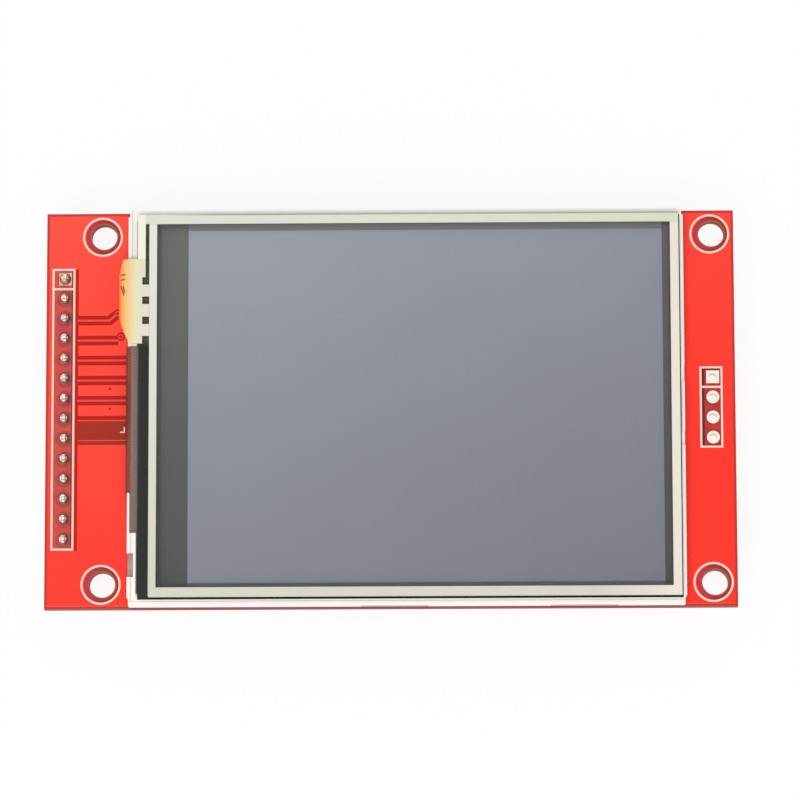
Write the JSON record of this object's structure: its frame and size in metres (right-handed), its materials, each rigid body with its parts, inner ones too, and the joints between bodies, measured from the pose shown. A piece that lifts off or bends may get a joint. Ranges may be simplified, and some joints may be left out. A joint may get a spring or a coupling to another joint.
{
  "type": "tft display module",
  "caption": "Colour touch display module: a framed display with a resistive touch panel on a circuit board, with a rear pin header and a memory card socket.",
  "frame": {"origin": "centre of the four mounting holes, on the rear face of the circuit board", "axes": "+X along the board away from the pin header, +Y across the board towards the card socket's mouth, +Z out of the front of the display"},
  "size_m": [0.086, 0.05, 0.014],
  "materials": {
    "mask_red": "satin",
    "print_ink": "matt",
    "header_plastic": "matt",
    "gold_plate": "satin",
    "tin": "satin",
    "solder": "glossy",
    "foam_adhesive": "matt",
    "tray_steel": "satin",
    "frame_white": "satin",
    "reflector_film": "glossy",
    "clear_acrylic": "glossy",
    "flex_amber": "satin",
    "led_body": "satin",
    "optical_film": "matt",
    "black_tape": "matt",
    "polarizer_film": "satin",
    "panel_glass": "glossy",
    "mask_glass": "glossy",
    "silicon": "glossy",
    "flex_brown": "satin",
    "clear_glass": "glossy",
    "clear_adhesive": "glossy",
    "border_ink": "satin",
    "clear_film": "satin",
    "socket_plastic": "matt",
    "shell_steel": "satin",
    "chip_epoxy": "matt",
    "lead_tin": "satin",
    "resistor_glaze": "glossy",
    "capacitor_ceramic": "satin"
  },
  "bodies": {
    "root": {"board": "mask_red", "print_front": "print_ink", "print_rear": "print_ink", "header_body": "header_plastic", "header_pins": "gold_plate", "header_pads": "tin", "header_solder": "solder", "card_row_pads": "tin", "rear_pads": "tin", "flex_joints": "tin", "adhesive_pad": "foam_adhesive", "back_tray": "tray_steel", "display_frame": "frame_white", "reflector": "reflector_film", "light_guide": "clear_acrylic", "led_strip": "flex_amber", "leds": "led_body", "diffuser": "optical_film", "prism_film_lower": "optical_film", "prism_film_upper": "optical_film", "shield_tape": "black_tape", "rear_polarizer": "polarizer_film", "transistor_glass": "panel_glass", "filter_glass": "mask_glass", "front_polarizer": "polarizer_film", "driver_chip": "silicon", "ledge_tape": "black_tape", "display_flex": "flex_brown", "ring_tape": "black_tape", "touch_glass": "clear_glass", "touch_spacer": "clear_adhesive", "touch_border": "border_ink", "touch_film": "clear_film", "touch_flex": "flex_amber", "socket_base": "socket_plastic", "socket_shell": "shell_steel", "socket_contacts": "gold_plate", "controller_body": "chip_epoxy", "controller_leads": "lead_tin", "regulator_body": "chip_epoxy", "regulator_leads": "lead_tin", "transistor_body": "chip_epoxy", "transistor_leads": "lead_tin", "resistor_bodies": "resistor_glaze", "resistor_ends": "lead_tin", "capacitor_bodies": "capacitor_ceramic", "capacitor_ends": "lead_tin"}
  },
  "joints": []
}
